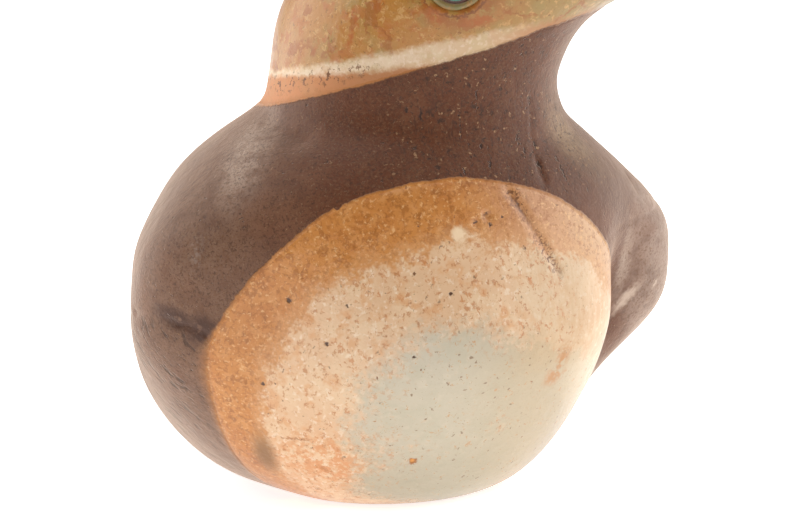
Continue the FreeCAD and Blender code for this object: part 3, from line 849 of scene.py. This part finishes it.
def glaze_coats(form, material):
    """The coats of glaze over belly and head, each a shell that ends at its dip line."""
    for name, node, cuts in GLAZE_COATS:
        coat = new_piece(name, form.data.copy())
        for plane, far_side in cuts:
            cut_off(coat, plane, far_side, closed=False)
        coat = largest_part(coat)
        shape(coat, "SOLIDIFY", thickness=GLAZE_THICKNESS * MM, offset=-1)
        finish(coat, name, node, material)


def eye_coil(side, eye, turn, material, unevenness):
    """A hand-rolled coil of clay, laid round an eye."""
    bpy.ops.object.select_all(action="DESELECT")
    bpy.ops.mesh.primitive_torus_add(
        location=eye * MM, rotation=turn, major_radius=COIL_RADIUS * MM, minor_radius=ROLL_RADIUS * MM,
        major_segments=96, minor_segments=20)
    coil = bpy.context.object
    bpy.ops.object.transform_apply()
    shape(
        coil, "DISPLACE", texture=unevenness, texture_coords="LOCAL", strength=ROLL_BUMP_REACH * MM,
        mid_level=0.6)
    finish(coil, f"eye_coil_{side}", f"eye_ring_{side}", material)


def eye_pool(side, eye, turn, material):
    """A low pool of glass that creeps up the coil round it."""
    bpy.ops.object.select_all(action="DESELECT")
    bpy.ops.mesh.primitive_uv_sphere_add(radius=POOL_RADIUS * MM, segments=96, ring_count=48)
    pool = bpy.context.object
    places, _ = points_of(pool)
    places[:, 2] *= np.where(places[:, 2] > 0, POOL_RISE, POOL_SINK)
    from_middle = np.hypot(places[:, 0], places[:, 1])
    places[:, 2] += dent(from_middle - POOL_RIM, POOL_RIM_WIDTH, POOL_RIM_HEIGHT)
    put_points(pool, places)
    pool.location = eye * MM
    pool.rotation_euler = turn
    only(pool)
    bpy.ops.object.transform_apply()
    finish(pool, f"eye_glass_{side}", f"eye_pool_{side}", material)


form = grown_together(CLAY_NODES)
mark(form)
places, _ = points_of(form)
clay_form = layered(form, "clay_form", -GLAZE_THICKNESS * inside_dips(places, *CLAY_STEP))
coat_form = layered(form, "coat_form", EDGE_DROP * inside_dips(places, *COAT_STEP) - EDGE_DROP)

glazed_coil = ash_glaze_on_coil()
pooled_glass = copper_green_glass()
hand_unevenness = bpy.data.textures.new("hand_unevenness", "CLOUDS")
hand_unevenness.noise_scale = ROLL_BUMP * MM
slip_clay = dipped_stoneware("brown_slip_on_stoneware", specular=0.32, sheen=0.85)
glaze_coat = dipped_stoneware("dipped_glazes", specular=0.5, sheen=0.0)

clay_pieces(clay_form, slip_clay)
dipped_bill(form, glaze_coat)
glaze_coats(coat_form, glaze_coat)
for side, eye, way in (("right", EYES[0], -CHEEK), ("left", EYES[1], CHEEK)):
    turn = way.to_track_quat("Z", "Y").to_euler()
    eye_coil(side, eye, turn, glazed_coil, hand_unevenness)
    eye_pool(side, eye, turn, pooled_glass)
for spare in (form, clay_form, coat_form):
    bpy.data.objects.remove(spare)

# Floor, light and camera

# A daylight tent: white all round, open and dark where the camera looks in, with a softbox at
# either side and one overhead. The opening's edge is the cosine where it starts and where it is full.
TENT_WHITE = 0.7
TENT_OPENING = 0.06
OPENING_EDGE = (0.45, 0.88)
# Each softbox: its name, its place and its width in mm, and its radiance.
SOFTBOXES = [
    ("softbox_left", RIGHT * -950 - BACK * 120 + UP * 220, 1200, 2.1),
    ("softbox_right", RIGHT * 950 - BACK * 120 + UP * 220, 1200, 2.1),
    ("softbox_overhead", UP * 1200, 1400, 1.1),
]
FIGURE_MIDDLE = Vector((0, 0, 60))
FLOOR_SIZE = 6000
SENSOR_WIDTH = 36

bpy.ops.object.select_all(action="DESELECT")
bpy.ops.mesh.primitive_plane_add(size=FLOOR_SIZE * MM)
floor = bpy.context.object
floor.name = "floor"
floor.data.materials.append(lit_acrylic())

world = bpy.data.worlds.new("light_tent")
bpy.context.scene.world = world
world.use_nodes = True
tent = world.node_tree
tent.nodes.clear()
way = add(tent, "TexCoord").node.outputs["Generated"]
towards_camera = add(tent, "VectorMath", {0: way, 1: BACK}, operation="DOT_PRODUCT")
brightness = add(
    tent, "MapRange",
    {"Value": towards_camera, "From Min": OPENING_EDGE[0], "From Max": OPENING_EDGE[1],
     "To Min": TENT_WHITE, "To Max": TENT_OPENING},
    interpolation_type="SMOOTHSTEP")
add(tent, "OutputWorld", {"Surface": add(tent, "Background", {"Strength": brightness})})

for name, place, width, radiance in SOFTBOXES:
    softbox = bpy.data.objects.new(name, bpy.data.lights.new(name, "AREA"))
    bpy.context.scene.collection.objects.link(softbox)
    softbox.data.size = width * MM
    softbox.data.energy = radiance * math.pi * (width * MM) ** 2
    softbox.location = place * MM
    softbox.rotation_euler = (place - FIGURE_MIDDLE).to_track_quat("Z", "Y").to_euler()
    softbox.visible_camera = False

to_right, upwards = [(middle - foot) * PIXEL for middle, foot in zip(MIDDLE_PIXEL, FOOT_PIXEL)]
target = RIGHT * to_right - VIEW_UP * upwards
camera = bpy.data.objects.new("camera", bpy.data.cameras.new("camera"))
bpy.context.scene.collection.objects.link(camera)
camera.location = (target + BACK * DISTANCE) * MM
camera.rotation_euler = BACK.to_track_quat("Z", "Y").to_euler()
camera.data.sensor_width = SENSOR_WIDTH
camera.data.lens = SENSOR_WIDTH * DISTANCE / (FRAME_WIDTH * PIXEL)
bpy.context.scene.camera = camera
bpy.context.scene.view_settings.view_transform = "Standard"
